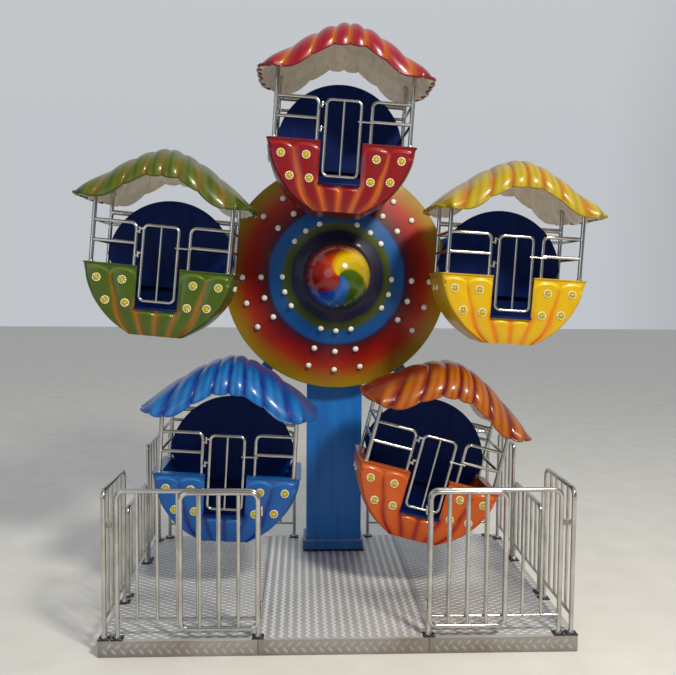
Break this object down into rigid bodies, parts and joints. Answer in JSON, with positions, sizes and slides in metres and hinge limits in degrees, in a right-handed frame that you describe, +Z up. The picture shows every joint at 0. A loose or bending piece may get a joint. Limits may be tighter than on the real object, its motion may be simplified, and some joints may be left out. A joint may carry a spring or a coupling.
{
  "type": "small fairground ferris wheel",
  "caption": "Small fairground ferris wheel with scallop-shell cabins that stay level, a domed painted face, a box column and a railed tread-plate platform.",
  "frame": {"origin": "on the ground, under the middle of the platform", "axes": "+X to the right as the visitor faces the entrance, +Y away from the visitor along the wheel's axle, +Z up"},
  "size_m": [3.9173, 2.2379, 4.3636],
  "materials": {
    "tread_plate": "five-bar tread pattern, worn and dusty",
    "blue_paint": "semi-gloss enamel over welded box section",
    "stainless": "satin-polished tube",
    "navy_board": "painted board, semi-gloss",
    "face_paint": "airbrushed bands under clear lacquer on moulded glass fibre",
    "ball_paint": "airbrushed swirl under clear lacquer",
    "red_shell": "gloss gel coat, airbrushed grooves",
    "red_roof": "gloss gel coat, cream underside",
    "green_shell": "gloss gel coat, airbrushed grooves",
    "green_roof": "gloss gel coat, cream underside",
    "blue_shell": "gloss gel coat, airbrushed grooves",
    "blue_roof": "gloss gel coat, cream underside",
    "orange_shell": "gloss gel coat, airbrushed grooves",
    "orange_roof": "gloss gel coat, cream underside",
    "yellow_shell": "gloss gel coat, airbrushed grooves",
    "yellow_roof": "gloss gel coat, cream underside"
  },
  "bodies": {
    "base": {"platform_left": "tread_plate", "platform_centre": "tread_plate", "platform_right": "tread_plate", "column_base": "blue_paint", "column": "blue_paint", "hub_bearing": "blue_paint", "fence_front_left": "stainless", "fence_front_right": "stainless", "fence_left_front": "stainless", "fence_left_middle": "stainless", "fence_left_rear": "stainless", "fence_right_front": "stainless", "fence_right_middle": "stainless", "fence_right_rear": "stainless", "fence_back_left": "stainless", "fence_back_right": "stainless"},
    "left_gate": {"gate_left": "stainless"},
    "right_gate": {"gate_right": "stainless"},
    "wheel": {"wheel_arms": "blue_paint", "wheel_face": "face_paint", "hub_ball": "ball_paint"},
    "red_cabin": {"red_tub": "red_shell", "red_canopy": "red_roof", "red_frame": "stainless", "red_board": "navy_board"},
    "green_cabin": {"green_tub": "green_shell", "green_canopy": "green_roof", "green_frame": "stainless", "green_board": "navy_board"},
    "blue_cabin": {"blue_tub": "blue_shell", "blue_canopy": "blue_roof", "blue_frame": "stainless", "blue_board": "navy_board"},
    "orange_cabin": {"orange_tub": "orange_shell", "orange_canopy": "orange_roof", "orange_frame": "stainless", "orange_board": "navy_board"},
    "yellow_cabin": {"yellow_tub": "yellow_shell", "yellow_canopy": "yellow_roof", "yellow_frame": "stainless", "yellow_board": "navy_board"},
    "red_cabin_door": {"red_door": "stainless"},
    "green_cabin_door": {"green_door": "stainless"},
    "blue_cabin_door": {"blue_door": "stainless"},
    "orange_cabin_door": {"orange_door": "stainless"},
    "yellow_cabin_door": {"yellow_door": "stainless"}
  },
  "joints": [
    {"name": "wheel_spin", "type": "hinge", "parent": "base", "child": "wheel", "pos_m": [0.02, 0.6, 2.523], "axis": [0, 1, 0], "continuous": true},
    {"name": "red_swing", "type": "hinge", "parent": "wheel", "child": "red_cabin", "pos_m": [0.04384, 0.4, 3.88879], "axis": [0, 1, 0], "continuous": true},
    {"name": "green_swing", "type": "hinge", "parent": "wheel", "child": "green_cabin", "pos_m": [-1.27158, 0.4, 2.96773], "axis": [0, 1, 0], "continuous": true},
    {"name": "blue_swing", "type": "hinge", "parent": "wheel", "child": "blue_cabin", "pos_m": [-0.80208, 0.4, 1.43206], "axis": [0, 1, 0], "continuous": true},
    {"name": "orange_swing", "type": "hinge", "parent": "wheel", "child": "orange_cabin", "pos_m": [0.80351, 0.4, 1.40404], "axis": [0, 1, 0], "continuous": true},
    {"name": "yellow_swing", "type": "hinge", "parent": "wheel", "child": "yellow_cabin", "pos_m": [1.32631, 0.4, 2.92238], "axis": [0, 1, 0], "continuous": true},
    {"name": "red_door_hinge", "type": "hinge", "parent": "red_cabin", "child": "red_cabin_door", "pos_m": [-0.13112, -0.38, 3.64903], "axis": [-0.061, 0, -0.9981], "range_deg": [0, 95]},
    {"name": "green_door_hinge", "type": "hinge", "parent": "green_cabin", "child": "green_cabin_door", "pos_m": [-1.45276, -0.38, 2.73262], "axis": [-0.0872, 0, -0.9962], "range_deg": [0, 95]},
    {"name": "blue_door_hinge", "type": "hinge", "parent": "blue_cabin", "child": "blue_cabin_door", "pos_m": [-0.97494, -0.38, 1.19078], "axis": [-0.0523, 0, -0.9986], "range_deg": [0, 95]},
    {"name": "orange_door_hinge", "type": "hinge", "parent": "orange_cabin", "child": "orange_cabin_door", "pos_m": [0.58601, -0.38, 1.20206], "axis": [-0.2504, 0, -0.9681], "range_deg": [0, 95]},
    {"name": "yellow_door_hinge", "type": "hinge", "parent": "yellow_cabin", "child": "yellow_cabin_door", "pos_m": [1.15345, -0.38, 2.6811], "axis": [-0.0523, 0, -0.9986], "range_deg": [0, 95]},
    {"name": "left_gate_hinge", "type": "hinge", "parent": "base", "child": "left_gate", "pos_m": [-0.528, -1.092, 0.6], "axis": [0, 0, 1], "range_deg": [0, 180]},
    {"name": "right_gate_hinge", "type": "hinge", "parent": "base", "child": "right_gate", "pos_m": [0.568, -1.092, 0.6], "axis": [0, 0, -1], "range_deg": [0, 180]}
  ],
  "couplings": [
    {"joint": "red_swing", "follows": "wheel_spin", "ratio": -1},
    {"joint": "green_swing", "follows": "wheel_spin", "ratio": -1},
    {"joint": "blue_swing", "follows": "wheel_spin", "ratio": -1},
    {"joint": "orange_swing", "follows": "wheel_spin", "ratio": -1},
    {"joint": "yellow_swing", "follows": "wheel_spin", "ratio": -1}
  ]
}
